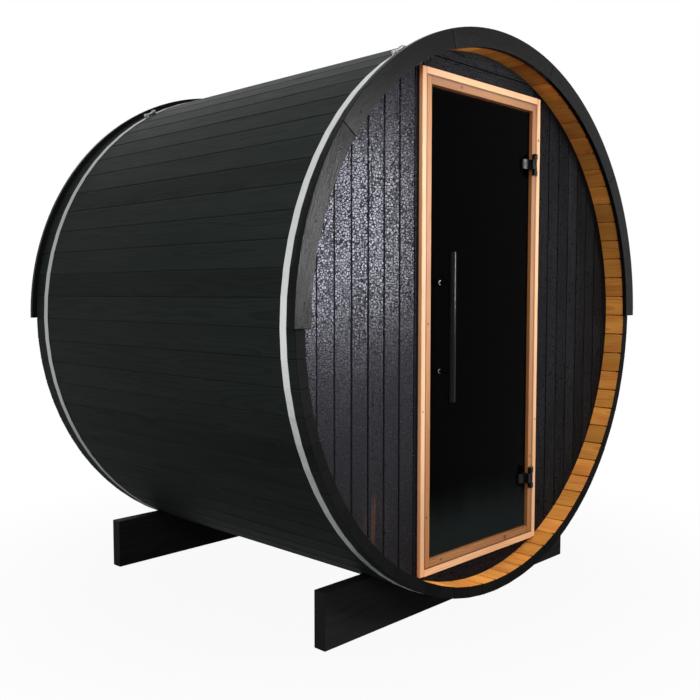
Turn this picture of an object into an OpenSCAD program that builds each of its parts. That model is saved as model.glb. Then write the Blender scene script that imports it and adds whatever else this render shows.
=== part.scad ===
// Outdoor barrel sauna: a lying barrel of staves on two cradles, with a glazed door in the front end.
// Millimetres, +Z up, the front looks towards -Y, origin on the ground under the middle of the barrel.

/* [Barrel] */
// Outside width over the stave corners
barrel_d = 2200; // [1900:5:2600]
// Length of the staves
barrel_len = 1710; // [1500:10:2800]
// Number of staves all round
stave_count = 72; // [60:12:84]
// Thickness of a stave
stave_t = 44; // [38:1:46]
// Width of the V at each stave seam
seam_w = 6; // [2:0.5:8]
// Depth of the V at each stave seam
seam_depth = 3; // [1:0.5:5]
// Width of the V at each stave seam inside
seam_in_w = 3; // [1:0.5:5]
// Depth of the V at each stave seam inside
seam_in_depth = 2; // [1:0.5:3]
// Play between the staves and what bears on them
seat = 0.1; // [0.05:0.05:0.3]
// Height of the lowest stave corner above the ground
ground_gap = 65; // [50:1:120]

/* [End arches] */
// Radial width of an arch board
arch_w = 72; // [50:1:90]
// Thickness of an arch board
arch_t = 20; // [12:1:30]
// How far an arch stands out past the stave corners
arch_proud = 20; // [5:1:40]
// How far the cut ends lie below the middle of the barrel
arch_drop = 0; // [0:1:60]
// Number of boards in an arch
arch_boards = 5; // [3:1:8]
// Open joint between two arch boards
arch_joint = 1; // [0.5:0.1:3]

/* [Steel bands] */
// Width of a band
band_w = 30; // [20:1:50]
// Thickness of a band
band_t = 1.5; // [1:0.1:3]
// Distance from the front stave ends to the front band
front_band_in = 40; // [20:1:60]
// Distance from the rear stave ends to the rear band
rear_band_in = 75; // [20:1:75]
// Distance between the two lugs of the tightening bolt
lug_gap = 40; // [20:1:80]
// Height of a lug above the band
lug_h = 18; // [12:1:20]
// Diameter of the tightening bolt
lug_bolt_d = 8; // [6:1:10]
// Angle from the top of the barrel to the tightening bolt, towards the left
lug_turn = 30; // [0:30:60]

/* [Cradles] */
// Length of a cradle across the barrel
cradle_len = 1608; // [1300:1:1900]
// Thickness of a cradle board
cradle_t = 56; // [40:1:90]
// Height of a cradle at its ends
cradle_h = 214; // [180:1:300]
// Distance from the stave ends to the outer face of the front cradle
cradle_front_in = 175; // [100:1:400]
// Distance from the stave ends to the outer face of the rear cradle
cradle_rear_in = 110; // [110:1:400]

/* [End walls] */
// Thickness of an end wall
wall_t = 42; // [36:1:50]
// Distance from the stave ends to the outer face of an end wall
recess = 90; // [60:1:160]
// Depth of the groove in the staves that holds an end wall
croze_depth = 10; // [6:1:16]
// Free play of an end wall in its groove
croze_fit = 0.2; // [0.1:0.1:0.5]
// Width of a wall board
board_w = 84; // [70:1:120]
// Width of the V between two wall boards
board_v = 5; // [3:0.5:8]

/* [Door frame] */
// Outside width of the trim
frame_w = 800; // [700:2:900]
// Gap from the trim's upper corners to the staves, measured upright
head_gap = 35; // [10:1:80]
// Gap from the trim's lower corners to the staves, measured upright
foot_gap = 5; // [4:1:40]
// Width of the trim boards
trim_w = 25; // [20:1:40]
// Thickness of the trim boards
trim_t = 18; // [12:1:24]
// Visible width of the jambs
jamb_w = 33; // [33:1:50]
// Step back from the trim to the jambs
jamb_step = 3; // [1:0.5:6]
// Width of the stop behind the glass
stop_w = 20; // [12:1:30]

/* [Door] */
// Thickness of the door glass
glass_t = 8; // [6:1:10]
// Step back from the jambs to the glass
glass_set = 12; // [8:1:14]
// Free gap between the door and the frame
door_gap = 5; // [5:0.5:8]

/* [Hinges] */
// Height of a hinge plate
plate_h = 90; // [86:1:120]
// Width of a hinge plate
plate_w = 30; // [24:1:30]
// Thickness of a hinge plate
plate_t = 5; // [3:0.5:6]
// Distance from the jamb face forward to the hinge axis
axis_out = 16; // [16:0.5:22]
// Diameter of a hinge knuckle
knuckle_d = 14; // [12:0.5:14]
// Diameter of a hinge pin
pin_d = 7; // [5:0.5:8]
// Radial play of a pin in the clamp knuckle
pin_play = 0.05; // [0.02:0.01:0.1]
// Height of a glass clamp
clamp_h = 40; // [30:1:44]
// Width of a glass clamp
clamp_w = 60; // [50:1:80]
// Thickness of the clamp block in front of the glass
clamp_t = 14; // [10:1:18]
// Thickness of the clamp plate behind the glass
clamp_back_t = 4; // [3:0.5:5]
// Distance of the upper hinge below the frame's upper edge
hinge_drop = 285; // [150:1:400]
// Height of the lower hinge above the frame's lower edge
hinge_rise = 275; // [150:1:400]

/* [Handle] */
// Diameter of the handle bar
bar_d = 28; // [20:1:36]
// Length of the handle bar
bar_len = 568; // [300:1:900]
// Distance from the glass to the axis of the bar
bar_out = 60; // [45:1:70]
// Distance of the bar from the free edge of the glass
bar_in = 65; // [50:1:120]
// Distance of the middle of the bar below the middle of the frame
bar_drop = 5; // [-100:1:200]
// Distance between the two standoffs
standoff_pitch = 340; // [200:1:500]
// Diameter of a standoff
standoff_d = 14; // [10:1:20]

/* [Floor] */
// Height of the deck above the frame's lower edge
deck_z = 50; // [40:1:70]
// Thickness of the deck boards
deck_t = 28; // [20:1:32]
// Width of a deck board
deck_board_w = 90; // [70:1:95]
// Open gap between two deck boards
deck_slot = 12; // [5:1:12]
// Number of deck boards
deck_boards = 9; // [5:1:9]
// Thickness of a bearer under the deck
bearer_t = 45; // [30:1:60]

/* [Hidden] */
groups = 12;
per_group = stave_count / groups;
step = 360 / stave_count;
r_out = barrel_d / 2;
r_in = r_out - stave_t;
r_wall = r_in + croze_depth;
zc = ground_gap + r_out;
y_front = -barrel_len / 2;
y_rear = barrel_len / 2;
flat_len = 2 * r_out * sin(step / 2);
seam_share = seam_w / 2 / flat_len;
flat_in = 2 * r_in * sin(step / 2);
seam_in_share = seam_in_w / 2 / flat_in;
r_arch = r_out + arch_proud;
fine = 180;
y_wall0 = y_front + recess;
y_wall1 = y_wall0 + wall_t;
y_back1 = y_rear - recess;
y_back0 = y_back1 - wall_t;
half_chord = sqrt(pow(r_in, 2) - pow(frame_w / 2, 2));
z_frame = round(zc - half_chord + foot_gap);
z_frame_top = round(zc + half_chord - head_gap);
half_cut = frame_w / 2 - trim_w;
z_cut0 = z_frame + trim_w;
z_cut1 = z_frame_top - trim_w;
half_open = half_cut - jamb_w;
z_open0 = z_cut0 + jamb_w;
z_open1 = z_cut1 - jamb_w;
y_trim = y_wall0 - trim_t;
y_jamb = y_trim + jamb_step;
y_glass0 = y_jamb + glass_set;
y_glass1 = y_glass0 + glass_t;
y_stop = y_glass1 + door_gap;
half_glass = half_open - door_gap;
bar_x = half_glass - bar_in;
x_axis = half_open - door_gap / 2;
y_axis = y_jamb - axis_out;
knuckle_h = clamp_h + 2;
knuckle_gap = 2;
bolt_d = 10;
bolt_fit = 0.2;
bolt_x = [half_glass - clamp_w + 10, half_glass - clamp_w + 26];
hinge_zs = [z_frame + hinge_rise, z_frame_top - hinge_drop];
z_bar = (z_frame + z_frame_top) / 2 - bar_drop;
fixing_zs = [z_bar - standoff_pitch / 2, z_bar + standoff_pitch / 2];
fixing_d = 10;
button_d = 24;
button_t = 5;
deck_top = z_frame + deck_z;
deck_half = (deck_boards * deck_board_w + (deck_boards - 1) * deck_slot) / 2;
bearer_ys = [y_wall1 + 60, (y_wall1 + y_back0) / 2, y_back0 - 60];
lug_t = 5;
big = 2 * barrel_d;

function polar(r, a) = [r * cos(a), r * sin(a)];
function corner(k) = polar(r_out, k * step);
function between(p, q, s) = p + (q - p) * s;
function ring_points(r) = [for (k = [0 : stave_count - 1]) polar(r, k * step)];
function stave_outer(k) = [
  polar(r_out - seam_depth, k * step),
  between(corner(k), corner(k + 1), seam_share),
  between(corner(k + 1), corner(k), seam_share)
];
function group_outer(k0) = concat(
  [for (k = [k0 : k0 + per_group - 1]) for (p = stave_outer(k)) p],
  [polar(r_out - seam_depth, (k0 + per_group) * step)]
);
function stave_inner(k) = [
  polar(r_in + seam_in_depth, k * step),
  between(polar(r_in, k * step), polar(r_in, (k - 1) * step), seam_in_share),
  between(polar(r_in, (k - 1) * step), polar(r_in, k * step), seam_in_share)
];
function group_inner(k0) = concat(
  [for (k = [k0 + per_group : -1 : k0 + 1]) for (p = stave_inner(k)) p],
  [polar(r_in + seam_in_depth, k0 * step)]
);

// A section drawn round the barrel axis, drawn out from y0 to y1
module along(y0, y1) {
  translate([0, y1, zc]) rotate([90, 0, 0]) linear_extrude(y1 - y0) children();
}

// A box given by its two opposite corners
module span(low, high) {
  translate(low) cube(high - low);
}

// The grooves that hold the end walls
module crozes() {
  along(y_wall0 - croze_fit, y_wall1 + croze_fit) circle(r = r_wall + croze_fit, $fn = fine);
  along(y_back0 - croze_fit, y_back1 + croze_fit) circle(r = r_wall + croze_fit, $fn = fine);
}

// A twelfth of the barrel: flat staves with V seams outside
module stave_group(g) {
  color([0.07, 0.08, 0.075])
  difference() {
    along(y_front, y_rear) polygon(concat(group_outer(g * per_group), group_inner(g * per_group)));
    crozes();
  }
}

// What is placed at the top of the barrel, turned about its axis to the tightening bolt
module at_lugs() {
  translate([0, 0, zc]) rotate([0, -lug_turn, 0]) translate([0, 0, -zc]) children();
}

// A steel strap round the stave corners, open where a bolt draws its lugs together
module band(y0) {
  color([0.72, 0.73, 0.72])
  union() {
    difference() {
      along(y0, y0 + band_w) difference() {
        polygon(ring_points(r_out + seat + band_t));
        polygon(ring_points(r_out + seat));
      }
      at_lugs() span([-lug_gap / 2, y0 - 1, zc + r_in], [lug_gap / 2, y0 + band_w + 1, zc + r_arch]);
    }
    at_lugs() for (s = [-1, 1]) {
      translate([s * (lug_gap / 2 + lug_t / 2), y0 + band_w / 2, zc + r_out + lug_h / 2])
        cube([lug_t, band_w, lug_h], center = true);
    }
    at_lugs() translate([0, y0 + band_w / 2, zc + r_out + lug_h - lug_bolt_d])
      rotate([0, 90, 0]) cylinder(d = lug_bolt_d, h = lug_gap + 4 * lug_t + 10, center = true, $fn = 48);
  }
}

// The flat arch nailed on the stave ends, made of short boards
module arch(y0) {
  color([0.1, 0.1, 0.105])
  along(y0, y0 + arch_t) difference() {
    circle(r = r_arch, $fn = fine);
    circle(r = r_arch - arch_w, $fn = fine);
    translate([-big / 2, -big - arch_drop]) square([big, big]);
    for (k = [1 : arch_boards - 1]) {
      rotate(k * 180 / arch_boards) translate([0, -arch_joint / 2]) square([big, arch_joint]);
    }
  }
}

// A cradle board whose upper edge is cut to the staves
module cradle(y0) {
  color([0.06, 0.06, 0.06])
  along(y0, y0 + cradle_t) difference() {
    translate([-cradle_len / 2, -zc]) square([cradle_len, cradle_h]);
    polygon(ring_points(r_out + seat));
  }
}

// Upright V grooves between wall boards in the face at y
module board_grooves(y) {
  side = board_v / sqrt(2);
  for (k = [-12 : 12]) {
    translate([k * board_w, y, zc]) rotate([0, 0, 45]) cube([side, side, big], center = true);
  }
}

// The part of the front end wall inside a rectangle from low to high
module front_wall(low, high) {
  color([0.11, 0.11, 0.12])
  difference() {
    intersection() {
      along(y_wall0, y_wall1) circle(r = r_wall, $fn = fine);
      span([low[0], y_wall0 - 1, low[1]], [high[0], y_wall1 + 1, high[1]]);
    }
    children();
  }
}

module front_wall_left() {
  front_wall([-big, -big], [-half_cut, big]) board_grooves(y_wall0);
}

module front_wall_right() {
  front_wall([half_cut, -big], [big, big]) board_grooves(y_wall0);
}

// Over the door a header board and a crown board meet in a level V
module front_wall_header() {
  side = board_v / sqrt(2);
  z_joint = (z_cut1 + zc + r_in + trim_w) / 2;
  front_wall([-half_cut, z_cut1], [half_cut, big])
    translate([0, y_wall0, z_joint]) rotate([45, 0, 0]) cube([big, side, side], center = true);
}

module front_wall_sill() {
  front_wall([-half_cut, -big], [half_cut, z_cut0]);
}

module rear_wall() {
  color([0.11, 0.11, 0.12])
  difference() {
    along(y_back0, y_back1) circle(r = r_wall, $fn = fine);
    board_grooves(y_back1);
  }
}

// Deck boards on three bearers cut to the inside of the staves
module floor_deck() {
  color([0.7, 0.5, 0.3])
  union() {
    for (k = [0 : deck_boards - 1]) {
      x0 = -deck_half + k * (deck_board_w + deck_slot);
      span([x0, y_wall1 + 10, deck_top - deck_t], [x0 + deck_board_w, y_back0 - 10, deck_top]);
    }
    for (y = bearer_ys) {
      along(y - bearer_t / 2, y + bearer_t / 2) intersection() {
        polygon(ring_points(r_in - seat));
        translate([-deck_half + 20, -r_out]) square([2 * deck_half - 40, r_out + deck_top - zc - deck_t + 1]);
      }
    }
  }
}

// A jamb on the side s with the stop behind the glass
module jamb(s) {
  color([0.72, 0.48, 0.32])
  union() {
    translate([s * (half_open + half_cut) / 2, (y_jamb + y_wall1) / 2, (z_cut0 + z_cut1) / 2])
      cube([jamb_w, y_wall1 - y_jamb, z_cut1 - z_cut0], center = true);
    translate([s * (half_open - stop_w / 2 + 0.5), (y_stop + y_wall1) / 2, (z_open0 + z_open1) / 2])
      cube([stop_w + 1, y_wall1 - y_stop, z_open1 - z_open0], center = true);
  }
}

module frame_head() {
  color([0.72, 0.48, 0.32])
  union() {
    span([-half_open, y_jamb, z_open1], [half_open, y_wall1, z_cut1]);
    span([stop_w - half_open, y_stop, z_open1 - stop_w], [half_open - stop_w, y_wall1, z_open1 + 1]);
  }
}

module frame_sill() {
  color([0.72, 0.48, 0.32])
  union() {
    span([-half_open, y_jamb, z_cut0], [half_open, y_wall1, z_open0]);
    span([stop_w - half_open, y_stop, z_open0 - 1], [half_open - stop_w, y_wall1, z_open0 + stop_w]);
  }
}

// A strip of trim from low to high in the plane of the wall
module trim(low, high) {
  color([0.85, 0.65, 0.47])
  span([low[0], y_trim, low[1]], [high[0], y_wall0, high[1]]);
}

// The fixed half of a hinge: a plate on the jamb, two knuckles and the pin
module hinge_plate(z) {
  arm_h = (plate_h - knuckle_h) / 2 - knuckle_gap;
  x_plate = half_cut - plate_w - 0.5;
  color([0.05, 0.05, 0.05])
  translate([0, 0, z])
  union() {
    span([x_plate, y_jamb - plate_t, -plate_h / 2], [x_plate + plate_w, y_jamb, plate_h / 2]);
    for (z0 = [-plate_h / 2, plate_h / 2 - arm_h]) {
      translate([x_axis, y_axis, z0]) cylinder(d = knuckle_d, h = arm_h, $fn = 48);
      span([x_axis, y_axis - 3, z0], [x_plate + 12, y_jamb - plate_t / 2, z0 + arm_h]);
    }
    translate([x_axis, y_axis, -plate_h / 2]) cylinder(d = pin_d, h = plate_h, $fn = 48);
  }
}

// The moving half of a hinge: a block bolted through the glass to a back plate
module glass_clamp(z) {
  x0 = half_glass - clamp_w;
  web_x = half_glass - 18;
  back_x = bolt_x[1] + 9;
  color([0.05, 0.05, 0.05])
  translate([0, 0, z])
  difference() {
    union() {
      span([x0, y_glass0 - clamp_t, -clamp_h / 2], [half_glass, y_glass0, clamp_h / 2]);
      span([web_x, y_axis - 4, -clamp_h / 2], [half_glass, y_glass0 - clamp_t + 4, clamp_h / 2]);
      span([web_x + 5, y_axis - 4, -clamp_h / 2], [x_axis, y_axis + 4, clamp_h / 2]);
      translate([x_axis, y_axis, 0]) cylinder(d = knuckle_d, h = knuckle_h, center = true, $fn = 48);
      span([x0, y_glass1, -clamp_h / 2], [back_x, y_glass1 + clamp_back_t, clamp_h / 2]);
      for (x = bolt_x) {
        translate([x, y_glass1 + 1, 0]) rotate([90, 0, 0]) cylinder(d = bolt_d, h = glass_t + 2, $fn = 48);
      }
    }
    translate([x_axis, y_axis, 0]) cylinder(d = pin_d + 2 * pin_play, h = knuckle_h + 2, center = true, $fn = 48);
  }
}

// A bore through the glass at x, z
module glass_bore(x, z, d) {
  translate([x, y_glass1 + 1, z]) rotate([90, 0, 0]) cylinder(d = d, h = glass_t + 2, $fn = 48);
}

module door_glass() {
  color([0.05, 0.06, 0.06])
  difference() {
    span([-half_glass, y_glass0, z_open0 + door_gap], [half_glass, y_glass1, z_open1 - door_gap]);
    for (z = hinge_zs, x = bolt_x) glass_bore(x, z, bolt_d + 2 * bolt_fit);
    for (z = fixing_zs) glass_bore(-bar_x, z, fixing_d + 2 * bolt_fit);
  }
}

// A round bar on two standoffs, each bolted through the glass to a button inside
module door_handle() {
  color([0.05, 0.05, 0.05])
  union() {
    translate([-bar_x, y_glass0 - bar_out, z_bar]) cylinder(d = bar_d, h = bar_len, center = true, $fn = 48);
    for (z = fixing_zs) {
      translate([-bar_x, y_glass0, z]) rotate([90, 0, 0]) cylinder(d = standoff_d, h = bar_out, $fn = 48);
      translate([-bar_x, y_glass1 + 1, z]) rotate([90, 0, 0]) cylinder(d = fixing_d, h = glass_t + 2, $fn = 48);
      translate([-bar_x, y_glass1 + button_t, z]) rotate([90, 0, 0]) cylinder(d = button_d, h = button_t, $fn = 48);
    }
  }
}

stave_group(0);  // staves_01
stave_group(1);  // staves_02
stave_group(2);  // staves_03
stave_group(3);  // staves_04
stave_group(4);  // staves_05
stave_group(5);  // staves_06
stave_group(6);  // staves_07
stave_group(7);  // staves_08
stave_group(8);  // staves_09
stave_group(9);  // staves_10
stave_group(10);  // staves_11
stave_group(11);  // staves_12
band(y_front + front_band_in);  // front_band
band(y_rear - rear_band_in - band_w);  // rear_band
arch(y_front - arch_t);  // front_arch
arch(y_rear);  // rear_arch
cradle(y_front + cradle_front_in);  // front_cradle
cradle(y_rear - cradle_rear_in - cradle_t);  // rear_cradle
front_wall_left();
front_wall_right();
front_wall_header();
front_wall_sill();
rear_wall();
floor_deck();
jamb(-1);  // jamb_left
jamb(1);  // jamb_right
frame_head();
frame_sill();
trim([-frame_w / 2, z_frame], [-half_cut, z_frame_top]);  // trim_left
trim([half_cut, z_frame], [frame_w / 2, z_frame_top]);  // trim_right
trim([-half_cut, z_cut1], [half_cut, z_frame_top]);  // trim_head
trim([-half_cut, z_frame], [half_cut, z_cut0]);  // trim_sill
hinge_plate(hinge_zs[1]);  // upper_hinge_plate
hinge_plate(hinge_zs[0]);  // lower_hinge_plate
door_glass();
glass_clamp(hinge_zs[1]);  // upper_glass_clamp
glass_clamp(hinge_zs[0]);  // lower_glass_clamp
door_handle();
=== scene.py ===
"""Looks of the outdoor barrel sauna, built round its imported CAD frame. Metres, +Z up, front towards -Y."""
import math
import random

import bmesh
import bpy
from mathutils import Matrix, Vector


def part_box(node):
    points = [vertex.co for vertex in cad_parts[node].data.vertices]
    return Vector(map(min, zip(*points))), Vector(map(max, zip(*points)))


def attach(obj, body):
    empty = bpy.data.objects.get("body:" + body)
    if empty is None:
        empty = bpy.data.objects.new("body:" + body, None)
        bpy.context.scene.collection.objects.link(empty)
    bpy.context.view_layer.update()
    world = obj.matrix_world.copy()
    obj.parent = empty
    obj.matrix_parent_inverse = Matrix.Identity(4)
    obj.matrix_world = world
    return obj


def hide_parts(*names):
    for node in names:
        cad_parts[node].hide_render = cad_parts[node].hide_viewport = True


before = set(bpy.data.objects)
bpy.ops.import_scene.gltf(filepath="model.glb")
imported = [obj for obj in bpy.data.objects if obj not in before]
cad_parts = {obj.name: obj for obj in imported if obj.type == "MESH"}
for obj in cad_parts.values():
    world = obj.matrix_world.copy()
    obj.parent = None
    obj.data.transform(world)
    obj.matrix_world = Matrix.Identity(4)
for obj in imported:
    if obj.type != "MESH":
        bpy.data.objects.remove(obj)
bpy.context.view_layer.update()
rng = random.Random(11)

# Barrel: its staves and their groups, the radii of the stave corners, the axis and the stave ends
STAVES = 72
GROUPS = 12
STEP = 2 * math.pi / STAVES
OUTER_R = 1.1
STAVE_T = 0.044
INNER_R = OUTER_R - STAVE_T
AXIS_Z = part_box("staves_01")[0].z
FRONT_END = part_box("staves_01")[0].y
REAR_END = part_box("staves_01")[1].y
# Radius of the arch screws, at which the wood coordinates of staves and arches start too
MIDDLE_R = 1.08

# End walls: outer faces, thickness, width of a board, and radius of the edge, sunk a little in the staves
FRONT_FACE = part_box("front_wall_left")[0].y
REAR_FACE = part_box("rear_wall")[1].y
WALL_T = REAR_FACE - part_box("rear_wall")[0].y
BOARD_W = 0.084
EDGE_SINK = 0.0012
WALL_R = INNER_R + EDGE_SINK

# Doorway: the cut in the front wall, the width of its trim, and the front faces of jambs, trim and glass
CUT_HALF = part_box("jamb_right")[1].x
CUT_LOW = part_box("jamb_right")[0].z
CUT_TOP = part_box("jamb_right")[1].z
TRIM_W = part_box("trim_right")[1].x - CUT_HALF
JAMB_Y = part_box("jamb_right")[0].y
TRIM_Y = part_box("trim_right")[0].y
GLASS_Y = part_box("door_glass")[0].y


class Nodes:
    """A node tree, with short names for the kinds of node used here. Functions call it t."""

    def __init__(self, tree):
        self.nodes = tree.nodes
        self.links = tree.links
        self.nodes.clear()

    def set(self, node, socket, value):
        if isinstance(value, bpy.types.NodeSocket):
            self.links.new(value, node.inputs[socket])
        elif node.inputs[socket].type == "RGBA" and len(value) == 3:
            node.inputs[socket].default_value = (*value, 1.0)
        else:
            node.inputs[socket].default_value = value

    def add(self, kind, output, sockets, **props):
        node = self.nodes.new("ShaderNode" + kind)
        for name, value in props.items():
            setattr(node, name, value)
        for socket, value in sockets.items():
            self.set(node, socket, value)
        return node.outputs[output]

    def end(self, kind, shader):
        self.links.new(shader, self.nodes.new("ShaderNodeOutput" + kind).inputs[0])

    def attr(self, name, output):
        return self.add("Attribute", output, {}, attribute_name=name)

    def place(self):
        return self.add("TexCoord", "Object", {})

    def part(self, vector, axis):
        return self.add("SeparateXYZ", axis, {0: vector})

    def scaled(self, vector, scale):
        return self.add("Mapping", 0, {"Vector": vector, "Scale": scale})

    def noise(self, vector, scale=1.0, detail=2.0, output="Fac"):
        return self.add("TexNoise", output, {"Vector": vector, "Scale": scale, "Detail": detail})

    def cells(self, vector, output, **props):
        return self.add("TexVoronoi", output, {"Vector": vector, "Scale": 1.0}, **props)

    def math(self, op, a, b=0.0, c=0.0, clamp=False):
        return self.add("Math", 0, {0: a, 1: b, 2: c}, operation=op, use_clamp=clamp)

    def vec(self, op, a, b=(0, 0, 0)):
        return self.add("VectorMath", 0, {0: a, 1: b}, operation=op)

    def length(self, vector):
        return self.add("VectorMath", "Value", {0: vector}, operation="LENGTH")

    def span(self, value, low, high, to_low=0.0, to_high=1.0):
        sockets = {0: value, 1: low, 2: high, 3: to_low, 4: to_high}
        return self.add("MapRange", 0, sockets, interpolation_type="SMOOTHSTEP")

    def ramp(self, value, stops):
        node = self.nodes.new("ShaderNodeValToRGB")
        marks = node.color_ramp.elements
        while len(marks) < len(stops):
            marks.new(0.5)
        for mark, (at, grey) in zip(marks, stops):
            mark.position = at
            mark.color = (grey, grey, grey, 1.0)
        self.set(node, 0, value)
        return node.outputs[0]

    def mix(self, share, a, b):
        return self.add("Mix", 2, {0: share, 6: a, 7: b}, data_type="RGBA")

    def mix_shaders(self, share, a, b):
        return self.add("MixShader", 0, {0: share, 1: a, 2: b})

    def shade(self, colour, value):
        return self.add("HueSaturation", 0, {"Color": colour, "Value": value})

    def bump(self, height, distance):
        return self.add("Bump", 0, {"Height": height, "Distance": distance})


class Surface(Nodes):
    """A material with one principled shader."""

    def __init__(self, name, **sockets):
        self.material = bpy.data.materials.new(name)
        self.material.use_nodes = True
        super().__init__(self.material.node_tree)
        self.bsdf = self.nodes.new("ShaderNodeBsdfPrincipled")
        self.end("Material", self.bsdf.outputs[0])
        for socket, value in sockets.items():
            self.set(self.bsdf, socket.replace("_", " "), value)

    def finish(self, colour, rough, normal=None):
        self.set(self.bsdf, "Base Color", colour)
        self.set(self.bsdf, "Roughness", rough)
        if normal is not None:
            self.set(self.bsdf, "Normal", normal)
        return self.material


def times(colour, factor):
    return tuple(c * factor for c in colour)


# Figure of wood: how often it changes in a metre, across, through and along the grain
FIBRES = (620, 620, 9)
CLOUDS = (16, 16, 2)
STRETCHES = (14, 14, 2.6)
WAVES = (3, 3, 0.9)
# How far waves and knots move a year ring
WAVE_REACH = 0.06
KNOT_REACH = 0.012
# Darkness through one year's growth, as (part of the year, darkness)
YEAR_RING = ((0, 0.15), (0.55, 0.3), (0.86, 1), (0.95, 0.85), (1, 0.15))
# Painted shade on a frame beside the trim, where the trim's shadow falls: full up to the first depth, gone
# at the second
TRIM_SHADE_FULL = 0.0035
TRIM_SHADE_GONE = 0.011


def knot_distance(t, knots):
    """How many knot radii a point lies from the nearest of the knots, each a place and a radius."""
    near = None
    for place, radius in knots:
        offset = t.vec("SUBTRACT", t.place(), place)
        away = t.length(t.scaled(offset, (1 / radius, 1 / radius, 1 / radius)))
        near = away if near is None else t.math("MINIMUM", near, away)
    return near


def inside(t, half, low, top):
    """How far a point lies within an upright rectangle, from half its width and its foot and head."""
    place = t.place()
    x = t.part(place, "X")
    z = t.part(place, "Z")
    least = t.math("SUBTRACT", half, t.math("ABSOLUTE", x))
    for depth in (t.math("SUBTRACT", z, low), t.math("SUBTRACT", top, z)):
        least = t.math("MINIMUM", least, depth)
    return least


def wood(name, light, dark, year=0.5, spacing=0.005, rough=(0.45, 0.65), relief=0.0004, spec=0.4, vary=0.3,
         knots=(), knot_colour=(0.13, 0.04, 0.016), blush=None, trim_shade=None):
    """Sawn wood: year rings round a pith, fibres, redder stretches, knots, and a tone for each board."""
    t = Surface(name, Specular_IOR_Level=spec)
    grain = t.attr("grain", "Vector")
    tone = t.attr("tone", "Fac")
    from_pith = t.length(t.vec("MULTIPLY", grain, (1, 1, 0)))
    reach = t.math("MULTIPLY_ADD", t.noise(t.scaled(grain, WAVES), detail=3), WAVE_REACH, from_pith)
    if knots:
        near = knot_distance(t, knots)
        reach = t.math("ADD", reach, t.span(near, 0.6, 4.0, KNOT_REACH, 0))
    ring = t.ramp(t.math("FRACT", t.math("MULTIPLY", reach, 1 / spacing)), YEAR_RING)
    fibre = t.noise(t.scaled(grain, FIBRES), detail=3)
    cloud = t.noise(t.scaled(grain, CLOUDS), detail=3)
    share = t.math("MULTIPLY", ring, year)
    share = t.math("MULTIPLY_ADD", t.math("SUBTRACT", fibre, 0.5), 0.9, share)
    share = t.math("MULTIPLY_ADD", t.math("SUBTRACT", cloud, 0.45), 1.2, share, clamp=True)
    colour = t.mix(share, light, dark)
    if blush:
        stretch = t.span(t.noise(t.scaled(grain, STRETCHES)), 0.45, 0.7, 0, 0.75)
        colour = t.mix(stretch, colour, t.mix(share, blush, times(blush, 0.62)))
    colour = t.shade(colour, t.math("MULTIPLY_ADD", tone, vary, 1 - vary / 2))
    if knots:
        colour = t.mix(t.span(near, 0.55, 1.15, 1, 0), colour, knot_colour)
    # Painted shade on the frame beside the trim, where the trim's shadow falls
    if trim_shade:
        colour = t.shade(colour, t.span(inside(t, *trim_shade), TRIM_SHADE_FULL, TRIM_SHADE_GONE, 0.4, 1))
    height = t.math("MULTIPLY_ADD", ring, -0.35, fibre)
    return t.finish(colour, t.span(fibre, 0.25, 0.75, *rough), t.bump(height, relief))


def stained(name, light, dark, rough, spec, vary=0.35):
    """Black-stained wood whose grain shows as relief more than as colour."""
    return wood(name, light, dark, year=0.6, spacing=0.006, rough=rough, relief=0.0005, spec=spec,
                vary=vary)


# Figure of char: how often it changes in a metre, across, through and along the grain
CHAR_SCALES = (80, 80, 105)
CHAR_FINE = (180, 180, 230)
CHAR_SPLITS = (150, 150, 5)
CHAR_PATCHES = (9, 9, 3)
CHAR_LINES = (190, 190, 2)
# How often and how far the scales stray from a plain pattern, and how deep the cracks between them are
CHAR_STRAYS = 45
CHAR_DRIFT = 0.006
CHAR_DEPTH = 0.0008
# Tint of the gloss, and colour down in the cracks
CHAR_SHEEN = (0.78, 0.78, 1.0)
CRACK_COLOUR = (0.0012, 0.0012, 0.0015)
# Worn patch low on the left wall: its middle, one over its reach, its lines in a metre, and its colour
WORN_AT = (-0.63, FRONT_FACE, 0.46)
WORN_REACH = (13, 13, 9)
WORN_LINES = (150, 150, 1.2)
WORN_COLOUR = (0.06, 0.03, 0.014)


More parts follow.
